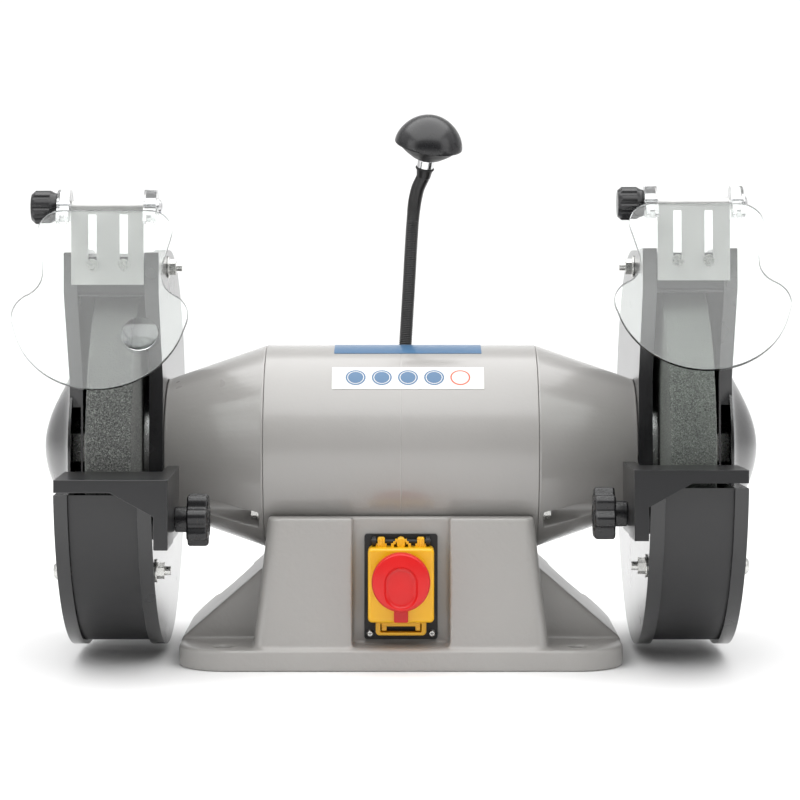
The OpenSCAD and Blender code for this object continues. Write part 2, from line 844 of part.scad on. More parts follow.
module start_button() {
  push_button(71.5, [0.1, 0.5, 0.2]);
}

module stop_button() {
  push_button(48.5, [0.75, 0.08, 0.06]);
}

module switch_lid() {
  depth = lid_back - lid_front;
  tall = lid_z[1] - lid_z[0];
  middle = (lid_z[0] + lid_z[1]) / 2;
  color([0.95, 0.75, 0.05]) difference() {
    union() {
      translate([0, lid_back, middle]) rotate([90, 0, 0])
        linear_extrude(depth) round_rect(2 * lid_x, tall, 3);
      for (s = [-1, 1]) translate([s * 14 - 2.6, hinge_y - 3, 84]) cube([5.2, 6, hinge_z - 84 + 3]);
      translate([-3, hinge_y - 3, 85]) cube([6, 6, 7.8]);
      translate([-7, hinge_y - 3, 85]) cube([14, 6, 3.5]);
      translate([0, lid_back - 1, 28.6]) rotate([90, 0, 0]) linear_extrude(6) difference() {
        round_rect(36, 11, 3);
        translate([0, 1]) square([28, 6.2], center = true);
      }
    }
    translate([-lid_x + lid_wall, lid_front + lid_wall, lid_z[0] + lid_wall])
      cube([2 * (lid_x - lid_wall), depth, tall - 2 * lid_wall]);
    translate([0, 0, stem_z]) rod_y_dir(stem_r + 0.1, -100, -80);
    translate([0, hinge_y, hinge_z]) rod_x(pin_r + 0.08, -40, 40, 32);
  }
}

module stop_mushroom() {
  head_r = mushroom_d / 2;
  color([0.85, 0.05, 0.04]) translate([0, 0, mushroom_z]) difference() {
    union() {
      rotate([90, 0, 0]) rotate_extrude($fn = fine) polygon([
        [0, 93], [head_r - 4, 93], [head_r - 1, 95], [head_r, 99], [head_r - 1, 105],
        [head_r - 4, 108.4], [head_r - 8, 109.6], [0, 110]
      ]);
      translate([0, 0, stem_z - mushroom_z]) rod_y_dir(stem_r, -94, button_front - 0.5);
    }
    hull() {
      for (z = [-5, 6]) translate([0, -105.5, z]) rod_y_dir(10.5, -10, 0, 48);
    }
  }
}

// ---- lamp ----

module neck_piece(a, b, r = neck_r) {
  d = b - a;
  length = norm(d);
  translate(a) rotate([0, acos(d[2] / length), atan2(d[1], d[0])])
    cylinder(r = r, h = length, $fn = round_fn);
}

function toward(a, b, gap) = a + (b - a) * gap / norm(b - a);

module lamp_socket() {
  color(black) {
    difference() {
      translate([neck_base[0], lamp_y, 190]) cylinder(r = 11, h = 31, $fn = round_fn);
      axis_frame() rod_x(motor_r + 0.02, -far, far, fine);
    }
    neck_piece(neck_base - [0, 0, 4], toward(neck_joint_a, neck_base, joint_gap));
  }
}

module neck_middle() {
  color(black) neck_piece(toward(neck_joint_a, neck_joint_b, joint_gap),
    toward(neck_joint_b, neck_joint_a, joint_gap));
}

module neck_upper() {
  color(black) {
    neck_piece(toward(neck_joint_b, neck_bend, joint_gap), neck_bend);
    translate(neck_bend) sphere(neck_r + 0.15, $fn = round_fn);
    neck_piece(neck_bend, toward(neck_end, neck_bend, 2));
  }
}

// The shade, the smoked lens under it and the collar, in the head's own tilted frame
module lamp_head() {
  steps = 16;
  translate(neck_end) rotate([head_lean, head_roll, 0]) {
    color(black) rotate_extrude($fn = fine) polygon(concat(
      [[0, 26.4], [shade_r - 2.4, 25.4], [shade_r - 1.4, 24], [shade_r, 24.4]],
      [for (i = [0:steps]) let (u = 1 - i / steps) [shade_r * u, 25.4 + shade_h * (1 - pow(u, 1.9))]]
    ));
    color(black) rotate_extrude($fn = fine)
      polygon([
        [0, 12.6], [7, 12.6], [12, 15.2], [18, 19],
        [shade_r - 2, 23.9], [shade_r - 2.6, 25.2], [0, 26.2]
      ]);
    color(steel) rotate_extrude($fn = round_fn)
      polygon([[0, 0], [5.2, 0], [6.2, 5], [7, 5.4], [7, 6.8], [6.4, 7.2], [6.4, 12.5], [0, 12.5]]);
  }
}

// ---- assembly ----

base_casting();
base_cover_plate();
panel_screws();
cable_gland();
capacitor();
capacitor_clamp();
terminal_block();
motor_housing();
end_bell(-1);  // end_bell_left
end_bell(1);  // end_bell_right
motor_bolts();
stator_core();
stator_windings();
bearing_outer_rings();
wave_spring();
housing_labels();
spindle_shaft();
rotor();
bearing_inner_rings();
bearing_balls();
grinding_wheel(-1, [0.3, 0.3, 0.3]);  // grinding_wheel_left
grinding_wheel(1, [0.35, 0.37, 0.35]);  // grinding_wheel_right
wheel_flanges();
wheel_blotters();
spindle_nuts();
guard_inner(-1);  // guard_inner_left
guard_inner(1);  // guard_inner_right
guard_band(-1);  // guard_band_left
guard_band(1);  // guard_band_right
guard_cover(-1);  // guard_cover_left
guard_cover(1);  // guard_cover_right
guard_bolts();
guard_screws();
port_cap();
tool_rest(-1);  // tool_rest_left
tool_rest(1);  // tool_rest_right
rest_knob(-1);  // rest_knob_left
rest_knob(1);  // rest_knob_right
shield_bracket(-1);  // shield_bracket_left
shield_bracket(1);  // shield_bracket_right
shield_rod(-1);  // shield_rod_left
shield_rod(1);  // shield_rod_right
shield_knob(-1);  // shield_knob_left
shield_knob(1);  // shield_knob_right
shield_knuckles(-1);  // shield_knuckles_left
shield_knuckles(1);  // shield_knuckles_right
eye_shield(-1);  // eye_shield_left
eye_shield(1);  // eye_shield_right
magnifier_lens();
switch_plate();
switch_block();
lid_hinge_pin();
switch_lid();
start_button();
stop_button();
stop_mushroom();
lamp_socket();
neck_middle();
neck_upper();
lamp_head();
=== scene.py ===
"""Looks of the bench grinder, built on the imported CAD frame.

Lengths are in millimetres and angles in degrees unless a comment says otherwise.
make() scales points to metres.
"""

import json
import math
import random

import bmesh
import bpy
from mathutils import Matrix, Vector

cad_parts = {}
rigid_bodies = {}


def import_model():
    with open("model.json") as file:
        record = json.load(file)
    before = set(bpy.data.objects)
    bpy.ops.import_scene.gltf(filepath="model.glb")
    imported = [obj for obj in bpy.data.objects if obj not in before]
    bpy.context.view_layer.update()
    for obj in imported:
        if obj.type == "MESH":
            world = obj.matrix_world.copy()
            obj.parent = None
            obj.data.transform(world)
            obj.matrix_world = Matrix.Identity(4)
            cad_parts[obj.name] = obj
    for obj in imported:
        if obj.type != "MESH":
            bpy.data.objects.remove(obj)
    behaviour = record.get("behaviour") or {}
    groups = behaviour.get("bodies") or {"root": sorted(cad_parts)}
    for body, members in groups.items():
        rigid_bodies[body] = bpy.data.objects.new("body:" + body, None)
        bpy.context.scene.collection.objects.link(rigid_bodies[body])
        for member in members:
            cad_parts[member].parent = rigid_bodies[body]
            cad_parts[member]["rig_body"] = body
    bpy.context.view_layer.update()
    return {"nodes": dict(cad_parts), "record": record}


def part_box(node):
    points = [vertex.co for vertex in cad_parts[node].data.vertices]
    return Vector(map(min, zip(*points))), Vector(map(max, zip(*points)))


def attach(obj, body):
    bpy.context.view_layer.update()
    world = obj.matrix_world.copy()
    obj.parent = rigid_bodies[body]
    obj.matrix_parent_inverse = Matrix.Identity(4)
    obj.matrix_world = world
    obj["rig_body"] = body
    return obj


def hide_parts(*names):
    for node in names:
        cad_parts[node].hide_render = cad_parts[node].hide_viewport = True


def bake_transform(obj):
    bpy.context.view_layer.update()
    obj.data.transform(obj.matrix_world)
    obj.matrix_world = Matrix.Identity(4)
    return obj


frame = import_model()
MM = 0.001
SIDES = {"left": -1, "right": 1}

# Driving sizes, as in the CAD model
AXIS_H = sum(c[2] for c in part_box("spindle_shaft")) / 2 / MM
MOTOR_R = 74
MOTOR_HALF = 98
WHEEL_R = 125
WHEEL_X = 186
WHEEL_W = 32
WHEEL_BORE_R = 16.05
GUARD_TURN = {"left": 0, "right": -2}
KNOB_AT = (-118, -41)
STAR_X = 147.4
SHIELD_TILT = {"left": 28, "right": 33}
LABEL_CENTRE_X = 5
MUSHROOM_Z = 64.5
NECK_BASE = Vector((3, 46, 221))
NECK_A = Vector((5.6, 46, 262))
NECK_B = Vector((8.8, 46, 316))
NECK_BEND = Vector((11.8, 44, 338))
NECK_END = Vector((17, 41, 350.6))
HEAD_LEAN = 18
HEAD_ROLL = 9


# ---- places ----

def turn(axis, degrees):
    return Matrix.Rotation(math.radians(degrees), 4, axis)


def along_x(side=1):
    """A frame on the spindle axis whose +Z runs outwards along X."""
    return Matrix.Translation((0, 0, AXIS_H)) @ turn("Y", 90 * side)


def guard_place(side):
    """The guard's frame of that side, on the spindle axis, with X still to the right."""
    return Matrix.Translation((0, 0, AXIS_H)) @ turn("X", GUARD_TURN[side])


HEAD_PLACE = Matrix.Translation(NECK_END) @ turn("Y", HEAD_ROLL) @ turn("X", HEAD_LEAN)
TO_FRONT = turn("X", 90)


# ---- materials ----

class Look:
    """One procedural material: a Principled shader and the nodes that feed it."""

    def __init__(self, name, colour, roughness, metallic=0.0, **sockets):
        self.material = bpy.data.materials.new(name)
        self.material.use_nodes = True
        self.tree = self.material.node_tree
        self.shader = self.tree.nodes["Principled BSDF"]
        self.colour = colour
        self.set("Base Color", (*colour, 1))
        self.set("Roughness", roughness)
        self.set("Metallic", metallic)
        for socket, value in sockets.items():
            self.set(socket.replace("_", " "), value)
        self.place = self.node("ShaderNodeTexCoord").outputs["Object"]
        self.normal = None

    def set(self, socket, value):
        self.shader.inputs[socket].default_value = value

    def node(self, kind, **values):
        made = self.tree.nodes.new(kind)
        for key, value in values.items():
            setattr(made, key, value)
        return made

    def link(self, source, target):
        self.tree.links.new(source, target)

    def stretched(self, stretch):
        mapping = self.node("ShaderNodeMapping")
        mapping.inputs["Scale"].default_value = stretch
        self.link(self.place, mapping.inputs["Vector"])
        return mapping.outputs["Vector"]

    def noise(self, scale, detail=3, stretch=None):
        made = self.node("ShaderNodeTexNoise")
        made.inputs["Scale"].default_value = scale
        made.inputs["Detail"].default_value = detail
        self.link(self.stretched(stretch) if stretch else self.place, made.inputs["Vector"])
        return made.outputs["Fac"]

    def cells(self, scale, output="Distance"):
        made = self.node("ShaderNodeTexVoronoi")
        made.inputs["Scale"].default_value = scale
        self.link(self.place, made.inputs["Vector"])
        return made.outputs[output]

    def ramp(self, source, *stops):
        """source through a ramp of (place, grey or colour) stops."""
        made = self.node("ShaderNodeValToRGB")
        while len(made.color_ramp.elements) < len(stops):
            made.color_ramp.elements.new(0.5)
        for element, (where, tone) in zip(made.color_ramp.elements, stops):
            element.position = where
            element.color = (*tone, 1) if isinstance(tone, tuple) else (tone, tone, tone, 1)
        self.link(source, made.inputs["Fac"])
        return made.outputs["Color"]

    def tint(self, source, dark, light, low=0.3, high=0.7):
        """The base colour varies between dark and light times the plain colour."""
        shades = [tuple(min(1.0, c * k) for c in self.colour) for k in (dark, light)]
        colours = self.ramp(source, (low, shades[0]), (high, shades[1]))
        self.link(colours, self.shader.inputs["Base Color"])
        return self

    def rough(self, source, low, high):
        made = self.node("ShaderNodeMapRange")
        made.inputs["To Min"].default_value = low
        made.inputs["To Max"].default_value = high
        self.link(source, made.inputs["Value"])
        self.link(made.outputs["Result"], self.shader.inputs["Roughness"])
        return self

    def bump(self, height, depth, strength=1.0):
        """Adds relief of that depth in millimetres; a second call lies on the first."""
        made = self.node("ShaderNodeBump")
        made.inputs["Strength"].default_value = strength
        made.inputs["Distance"].default_value = depth * MM
        self.link(height, made.inputs["Height"])
        if self.normal:
            self.link(self.normal, made.inputs["Normal"])
        self.normal = made.outputs["Normal"]
        self.link(self.normal, self.shader.inputs["Normal"])
        return self


def paint(name, colour, roughness, peel, peel_depth, coat):
    """Sprayed paint: orange peel of that noise scale and depth, faint patches and an uneven gloss."""
    look = Look(name, colour, roughness, Coat_Weight=coat, Coat_Roughness=0.16)
    look.tint(look.noise(9, 2), 0.975, 1.02)
    look.rough(look.noise(28, 2), roughness - 0.02, roughness + 0.03)
    look.bump(look.noise(peel, 2), peel_depth)
    return look


def steel(name, colour, roughness, stretch=(1, 1, 1), grain=900, depth=0.01):
    """Bare or plated steel with fine scratches along one direction."""
    look = Look(name, colour, roughness, metallic=1.0)
    scratches = look.noise(grain, 5, stretch)
    look.tint(look.noise(60, 3), 0.88, 1.06)
    look.rough(scratches, roughness - 0.08, roughness + 0.12)
    look.bump(scratches, depth)
    return look


def plastic(name, colour, roughness, grain=1800, depth=0.015, **sockets):
    """Moulded plastic with a fine spark-eroded grain."""
    look = Look(name, colour, roughness, **sockets)
    look.tint(look.noise(30, 3), 0.95, 1.04)
    look.rough(look.noise(120, 3), roughness - 0.05, roughness + 0.07)
    look.bump(look.noise(grain, 2), depth)
    return look


def abrasive(name, colour, light, grain, depth):
    """Bonded grit: grains of the plain colour and lighter ones in a porous bond; the darkest tone is painted
    shade in the pores and the brightest a painted glint.
    """
    look = Look(name, colour, 0.82)
    # The darkest grain tone is painted shade in the pores, and the brightest is a painted glint on the
    # grains.
    painted_pore_shade = tuple(c * 0.35 for c in colour)
    painted_grain_glint = tuple(min(1, c * 1.5) for c in light)
    shades = look.ramp(look.cells(grain, "Color"), (0.15, painted_pore_shade), (0.5, colour), (0.8, light), (0.95, painted_grain_glint))
    patches = look.ramp(look.noise(35, 4), (0.3, 0.82), (0.7, 1.0))
    mix = look.node("ShaderNodeMix", data_type="RGBA", blend_type="MULTIPLY")
    mix.inputs["Factor"].default_value = 1.0
    look.link(shades, mix.inputs["A"])
    look.link(patches, mix.inputs["B"])
    look.link(mix.outputs["Result"], look.shader.inputs["Base Color"])
    look.bump(look.cells(grain), depth)
    look.bump(look.noise(grain * 0.4, 4), depth * 1.5)
    return look


def clear(name, colour, roughness, haze_scale=40):
    """Clear moulded sheet, slightly uneven in its polish."""
    look = Look(name, colour, roughness, Transmission_Weight=1.0, IOR=1.49)
    if roughness:
        look.rough(look.noise(haze_scale, 4), roughness * 0.6, roughness * 1.5)
    return look


LOOKS = {}


def build_looks():
    cast = paint("cast_grey_paint", (0.335, 0.325, 0.312), 0.36, 230, 0.28, coat=0.25)
    cast.bump(cast.noise(70, 3), 0.5, 0.5)
    LOOKS["cast"] = cast
    LOOKS["grey"] = paint("smooth_grey_paint", (0.300, 0.291, 0.280), 0.28, 420, 0.05, coat=0.6)
    LOOKS["black"] = paint("gloss_black_paint", (0.009, 0.009, 0.010), 0.26, 480, 0.012, coat=0.5)
    LOOKS["band"] = paint("satin_black_paint", (0.012, 0.012, 0.013), 0.40, 620, 0.06, coat=0.15)
    LOOKS["rest"] = paint("rest_black_paint", (0.009, 0.009, 0.010), 0.30, 700, 0.012, coat=0.2)
    LOOKS["zinc"] = steel("zinc_plate", (0.62, 0.62, 0.60), 0.26)
    LOOKS["chrome"] = steel("polished_steel", (0.80, 0.80, 0.81), 0.10, (1, 40, 40), 300, 0.004)
    LOOKS["sheet"] = steel("satin_sheet_steel", (0.56, 0.56, 0.55), 0.46, (25, 1, 1), 260, 0.012)
    LOOKS["flange"] = steel("turned_steel", (0.66, 0.66, 0.66), 0.22, (1, 1, 1), 700, 0.008)
    LOOKS["lamination"] = steel("laminations", (0.30, 0.30, 0.31), 0.55, (60, 1, 1), 200, 0.05)
    LOOKS["copper"] = steel("varnished_copper", (0.62, 0.28, 0.12), 0.30, (1, 12, 12), 400, 0.08)
    LOOKS["can"] = steel("plain_aluminium", (0.74, 0.74, 0.75), 0.30, (1, 20, 20), 400, 0.01)
    LOOKS["coarse"] = abrasive("coarse_grit", (0.105, 0.108, 0.104), (0.20, 0.21, 0.195), 1500, 0.25)
    LOOKS["fine"] = abrasive("fine_grit", (0.115, 0.125, 0.115), (0.19, 0.21, 0.19), 2100, 0.18)
    LOOKS["blotter"] = plastic("blotter_paper", (0.050, 0.048, 0.045), 0.8, 900, 0.05)
    LOOKS["knob"] = plastic("black_knob_plastic", (0.009, 0.009, 0.010), 0.26, 1500, 0.02)
    LOOKS["matte"] = plastic("black_matte_plastic", (0.010, 0.010, 0.011), 0.5)
    LOOKS["white"] = plastic("white_plastic", (0.72, 0.71, 0.67), 0.45)
    LOOKS["yellow"] = plastic("yellow_plastic", (0.80, 0.43, 0.004), 0.32, Coat_Weight=0.1)
    LOOKS["red"] = plastic("red_plastic", (0.58, 0.003, 0.003), 0.36, Coat_Weight=0.05)
    LOOKS["green"] = plastic("green_plastic", (0.03, 0.30, 0.10), 0.34)
    LOOKS["label_blue"] = plastic("blue_film", (0.035, 0.115, 0.23), 0.34, 600, 0.006, Coat_Weight=0.3)
    LOOKS["label_white"] = plastic("white_film", (0.62, 0.61, 0.59), 0.34, 600, 0.006, Coat_Weight=0.2)
    LOOKS["label_red"] = plastic("red_film", (0.62, 0.07, 0.02), 0.32, 600, 0.006)
    LOOKS["sleeve"] = plastic("neck_sleeve", (0.009, 0.0085, 0.0085), 0.32, 900, 0.02)
    LOOKS["shade"] = plastic("lamp_shade_gloss", (0.007, 0.007, 0.008), 0.26, 500, 0.006, Coat_Weight=0.1)
    LOOKS["smoked"] = plastic("smoked_lens", (0.006, 0.0055, 0.0055), 0.40, 400, 0.003,
                              Specular_IOR_Level=0.15)
    LOOKS["rubber"] = plastic("rubber_ring", (0.012, 0.012, 0.012), 0.6, 900, 0.03)
    LOOKS["clear"] = clear("clear_sheet", (0.955, 0.985, 0.968), 0.012)
    LOOKS["clear_edge"] = clear("clear_sheet_edge", (0.95, 0.98, 0.98), 0.10)
    LOOKS["knuckle"] = clear("clear_knuckle", (0.96, 0.97, 0.97), 0.12, 300)
    LOOKS["lens"] = clear("magnifier_glass", (0.97, 0.99, 0.99), 0.0)


build_looks()


# ---- meshes ----

def settle(obj):
    """Applies the modifiers, so the final mesh is what rides on the body."""
    depsgraph = bpy.context.evaluated_depsgraph_get()
    mesh = bpy.data.meshes.new_from_object(obj.evaluated_get(depsgraph))
    obj.modifiers.clear()
    obj.data = mesh


def smooth(mesh, angle):
    """Smooth shading, with sharp edges where faces meet at more than that angle."""
    mesh.polygons.foreach_set("use_smooth", [True] * len(mesh.polygons))
    mesh.set_sharp_from_angle(angle=math.radians(angle))


def finish_piece(obj, body, slot, replaces=()):
    """Evens the normals, so flat faces stay flat beside their rounded edges, and names the body. The slot is
    not used.
    """
    even = obj.modifiers.new("normals", "WEIGHTED_NORMAL")
    even.keep_sharp = True
    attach(obj, body)
    if replaces:
        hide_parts(*replaces)


def make(name, skins, looks, body, slot, place=Matrix(), replaces=(), angle=35, ride=True):
    """A piece from closed skins, each (points, faces) or (points, faces, look number)."""
    work = bmesh.new()
    for skin in skins:
        points, faces = skin[0], skin[1]
        verts = [work.verts.new(MM * (place @ Vector(p))) for p in points]
        made = [work.faces.new([verts[i] for i in f]) for f in faces]
        for face in made:
            face.material_index = skin[2] if len(skin) > 2 else 0
    bmesh.ops.remove_doubles(work, verts=work.verts, dist=1e-7)
    bmesh.ops.dissolve_degenerate(work, edges=work.edges, dist=1e-7)
    bmesh.ops.recalc_face_normals(work, faces=work.faces)
    mesh = bpy.data.meshes.new(name)
    work.to_mesh(mesh)
    work.free()
    smooth(mesh, angle)
    for look in looks:
        mesh.materials.append(LOOKS[look].material)
    obj = bpy.data.objects.new(name, mesh)
    bpy.context.scene.collection.objects.link(obj)
    if ride:
        finish_piece(obj, body, slot, replaces)
    return obj


def stack(rings, loop=False):
    """Joins rings of points, all of one length, into a skin; capped at both ends unless it is a loop."""
    count = len(rings[0])
    points = [p for ring in rings for p in ring]
    faces = []
    for i in range(len(rings) if loop else len(rings) - 1):
        a, b = i * count, (i + 1) % len(rings) * count
        for j in range(count):
            k = (j + 1) % count
            faces.append((a + j, a + k, b + k, b + j))
    if not loop:
        faces.append(tuple(reversed(range(count))))
        faces.append(tuple(range(len(points) - count, len(points))))
    return points, faces


def rounded(corners, closed, steps=4):
    """A path of (u, v) or (u, v, radius) corners, each rounded over its radius."""
    path = []
    count = len(corners)
    for i, corner in enumerate(corners):
        u, v, radius = (*corner, 0)[:3]
        here = Vector((u, v))
        if not radius or (not closed and i in (0, count - 1)):
            path.append(here)
            continue
        before, after = (Vector(corners[j % count][:2]) for j in (i - 1, i + 1))
        start = here + (before - here).normalized() * radius
        end = here + (after - here).normalized() * radius
        for s in (k / steps for k in range(steps + 1)):
            path.append((1 - s) ** 2 * start + 2 * s * (1 - s) * here + s ** 2 * end)
    return path


def lathe(corners, steps=96, loop=False):
    """A turned skin about Z from (radius, height, rounding) corners."""
    profile = rounded(corners, loop)
    rings = []
    for radius, height in profile:
        ring = []
        for i in range(steps):
            a = 2 * math.pi * i / steps
            ring.append((radius * math.cos(a), radius * math.sin(a), height))
        rings.append(ring)
    return stack(rings, loop)


def outline_block(outline, depth, fillet, steps=4, back_fillet=0.3):
    """A skin between Z 0 and depth over an outline given as a function of its inset."""
    rings = [outline(back_fillet), outline(0)]
    heights = [0, back_fillet]
    for k in range(steps + 1):
        a = math.pi / 2 * k / steps
        rings.append(outline(fillet * (1 - math.cos(a))))
        heights.append(depth - fillet + fillet * math.sin(a))
    return stack([[(x, y, h) for x, y in ring] for ring, h in zip(rings, heights)])


def rectangle(width, height, radius, steps=6):
    """The outline function of a rounded rectangle."""
    def outline(inset):
        r = max(radius - inset, 0.05)
        points = []
        for quarter in range(4):
            sx, sy = ((1, 1), (-1, 1), (-1, -1), (1, -1))[quarter]
            for k in range(steps + 1):
                a = math.pi / 2 * (quarter + k / steps)
                points.append((sx * (width / 2 - inset - r) + r * math.cos(a),
                               sy * (height / 2 - inset - r) + r * math.sin(a)))
        return points
    return outline


def tube(path, radius, sides=24):
    """A skin along path; radius is a function of the length so far."""
    rings = []
    length = 0.0
    across = Vector((0, 1, 0))
    for i, point in enumerate(path):
        if i:
            length += (point - path[i - 1]).length
        ahead = path[min(i + 1, len(path) - 1)] - path[max(i - 1, 0)]
        ahead.normalize()
        side = (across - ahead * across.dot(ahead)).normalized()
        up = ahead.cross(side)
        r = radius(length)
        ring = []
        for k in range(sides):
            a = 2 * math.pi * k / sides
            ring.append(point + r * (math.cos(a) * side + math.sin(a) * up))
        rings.append(ring)
    return stack(rings)


# ---- CAD nodes kept or softened ----

def dress(node, look):
    """A kept CAD node gets a better material."""
    mesh = frame["nodes"][node].data
    mesh.materials.clear()
    mesh.materials.append(LOOKS[look].material)


def copy_of(node):
    """A clean copy of a CAD node's mesh: welded, with each flat face in one piece."""
    work = bmesh.new()
    work.from_mesh(frame["nodes"][node].data)
    bmesh.ops.remove_doubles(work, verts=work.verts, dist=2e-6)
    bmesh.ops.dissolve_limit(work, angle_limit=math.radians(0.4), verts=work.verts, edges=work.edges)
    mesh = bpy.data.meshes.new(node + "_soft")
    work.to_mesh(mesh)
    work.free()
    obj = bpy.data.objects.new(node + "_soft", mesh)
    bpy.context.scene.collection.objects.link(obj)
    return obj


def slot_of(node):
    """The node's material slot in the record."""
    return next(p["material_slot"] for p in frame["record"]["subparts"] if p["node"] == node)


def soften(node, looks, radius, segments=2, pick=None):
    """Replaces a CAD node by a copy with its edges rounded; pick gives a face's place in looks."""
    obj = copy_of(node)
    bevel = obj.modifiers.new("edges", "BEVEL")
    bevel.width = radius * MM
    bevel.segments = segments
    bevel.limit_method = "ANGLE"
    bevel.angle_limit = math.radians(30)
    bevel.use_clamp_overlap = True
    settle(obj)
    obj.data.materials.clear()
    for look in looks:
        obj.data.materials.append(LOOKS[look].material)
    if pick:
        for polygon in obj.data.polygons:
            polygon.material_index = pick(polygon)
    else:
        obj.data.polygons.foreach_set("material_index", [0] * len(obj.data.polygons))
    smooth(obj.data, 35)
    finish_piece(obj, frame["nodes"][node]["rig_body"], slot_of(node), [node])


def cast(node, look, voxel, rounds):
    """Replaces a CAD node by a cast skin, whose edges and inner corners soften with every round."""
    obj = copy_of(node)
    remesh = obj.modifiers.new("skin", "REMESH")
    remesh.mode = "VOXEL"
    remesh.voxel_size = voxel * MM
    blur = obj.modifiers.new("blur", "SMOOTH")
    blur.factor = 0.5
    blur.iterations = rounds
    settle(obj)
    obj.data.materials.clear()
    obj.data.materials.append(LOOKS[look].material)
    smooth(obj.data, 60)
    finish_piece(obj, frame["nodes"][node]["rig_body"], slot_of(node), [node])


# ---- base and motor ----

def base():
    cast("base_casting", "cast", 1.3, 9)
    soften("base_cover_plate", ["zinc"], 0.3)
    soften("panel_screws", ["zinc"], 0.25)
    soften("cable_gland", ["matte"], 0.6)
    soften("terminal_block", ["white"], 0.5)
    dress("capacitor", "can")
    dress("capacitor_clamp", "zinc")


def motor():
    bore_r, seam_half, seam_r = 69, 0.6, 73.8
    body = lathe([(bore_r, -MOTOR_HALF, 0.3), (MOTOR_R, -MOTOR_HALF, 0.4), (MOTOR_R, -seam_half, 0.2),
                  (seam_r, 0, 0.2), (MOTOR_R, seam_half, 0.2), (MOTOR_R, MOTOR_HALF, 0.4),
                  (bore_r, MOTOR_HALF, 0.3)], steps=256, loop=True)
    make("motor_skin", [body], ["grey"], "machine", "grey_paint", along_x(), ["motor_housing"])
    for side in SIDES:
        cast("end_bell_" + side, "grey", 0.85, 4)
    soften("motor_bolts", ["zinc"], 0.3)
    dress("stator_core", "lamination")
    dress("stator_windings", "copper")
    dress("rotor", "lamination")
    dress("bearing_outer_rings", "chrome")
    dress("bearing_inner_rings", "chrome")
    dress("bearing_balls", "chrome")
    dress("wave_spring", "zinc")
    dress("spindle_shaft", "flange")


def on_drum(x, arc, lift):
    """A point on the motor: arc is the way round its skin from the front horizontal."""
    a = arc / MOTOR_R
    r = MOTOR_R + lift
    return x, -r * math.cos(a), r * math.sin(a) + AXIS_H


def film(width, low, high, lift, thickness, steps=24):
    """A strip of film that follows the motor, between two angles above the front horizontal."""
    rings = []
    left, right = LABEL_CENTRE_X - width / 2, LABEL_CENTRE_X + width / 2
    for k in range(steps + 1):
        arc = math.radians(low + (high - low) * k / steps) * MOTOR_R
        rings.append([on_drum(left, arc, lift), on_drum(right, arc, lift),
                      on_drum(right, arc, lift + thickness), on_drum(left, arc, lift + thickness)])
    return stack(rings)


def drum_ring(x, arc, inner, outer, lift, thickness=0.04, steps=48, spans=4):
    """A printed ring or disc on the motor's label."""
    rings = []
    rows = [inner + (outer - inner) * k / spans for k in range(spans + 1)]
    for r, h in [(r, lift) for r in rows] + [(r, lift + thickness) for r in reversed(rows)]:
        ring = []
        for k in range(steps):
            a = 2 * math.pi * k / steps
            ring.append(on_drum(x + r * math.cos(a), arc + r * math.sin(a), h))
        rings.append(ring)
    return stack(rings, loop=True)


def labels():
    """A plain blue strip, and a white one with plain round signs, the last of them an open red ring."""
    blue, white, red = 0, 1, 2
    film_t, glue = 0.3, 0.02
    sign_r, sign_step, sign_angle = 7.2, 18.75, 45.9
    arc = math.radians(sign_angle) * MOTOR_R
    skins = [(*film(107, 69, 100, glue, film_t), blue), (*film(109, 37.7, 54, glue, film_t), white)]
    for k in range(-2, 3):
        x = LABEL_CENTRE_X + k * sign_step
        top = film_t + glue
        if k == 2:
            skins.append((*drum_ring(x, arc, sign_r - 1.1, sign_r, top), red))
        else:
            skins.append((*drum_ring(x, arc, 0.01, sign_r, top), blue))
            skins.append((*drum_ring(x, arc, sign_r - 1.7, sign_r - 1.2, top + 0.04), white))
    make("label_films", skins, ["label_blue", "label_white", "label_red"], "machine", "label_print",
         replaces=["housing_labels"])


# ---- wheels and guards ----

def wheel(side):
    """A bonded wheel with grains worn out of its rim and faces, and slightly chipped corners."""
    rim_rows, corner, steps = 20, 1.0, 440
    pit, chip, face_share = 0.16, 0.5, 0.6
    rim_from, face_from, face_to = 118, 50, 124.5
    faces = [WHEEL_BORE_R, 30, 46, 54, 62, 70, 78, 86, 94, 102, 109, 115, 119.5, 122.5, WHEEL_R - corner]
    profile = [(r, 0) for r in faces]
    profile += [(WHEEL_R, corner + (WHEEL_W - 2 * corner) * k / rim_rows) for k in range(rim_rows + 1)]
    profile += [(r, WHEEL_W) for r in reversed(faces)]
    grit = random.Random(side)
    rings = []
    for r, h in profile:
        ring = []
        at_corner = abs(r - WHEEL_R) <= corner and (h <= corner or h >= WHEEL_W - corner)
        for i in range(steps):
            a = 2 * math.pi * i / steps
            worn = pit * grit.random() + (chip * grit.random() ** 2 if at_corner else 0)
            inward = 1 if h < WHEEL_W / 2 else -1
            near = r - worn if r > rim_from else r
            deep = h + worn * face_share * inward if face_from < r < face_to else h
            ring.append((near * math.cos(a), near * math.sin(a), deep))
        rings.append(ring)
    name = "grinding_wheel_" + side
    place = along_x(SIDES[side]) @ Matrix.Translation((0, 0, WHEEL_X))
    look = {"left": "coarse", "right": "fine"}[side]
    make("grit_wheel_" + side, [stack(rings, loop=True)], [look], "spindle", look + "_abrasive", place,
         [name])


def guards():
    for side in SIDES:
        wheel(side)
        soften("guard_inner_" + side, ["black"], 1.0, 3)
        soften("guard_cover_" + side, ["black"], 1.0, 3)
        soften("guard_band_" + side, ["band"], 0.4)
        soften("tool_rest_" + side, ["rest"], 0.8, 3)
        star_knob(side)
    soften("guard_bolts", ["zinc"], 0.3)
    soften("guard_screws", ["zinc"], 0.25)
    soften("port_cap", ["matte"], 0.8)
    soften("wheel_flanges", ["flange"], 0.4)
    soften("spindle_nuts", ["zinc"], 0.6)
    dress("wheel_blotters", "blotter")


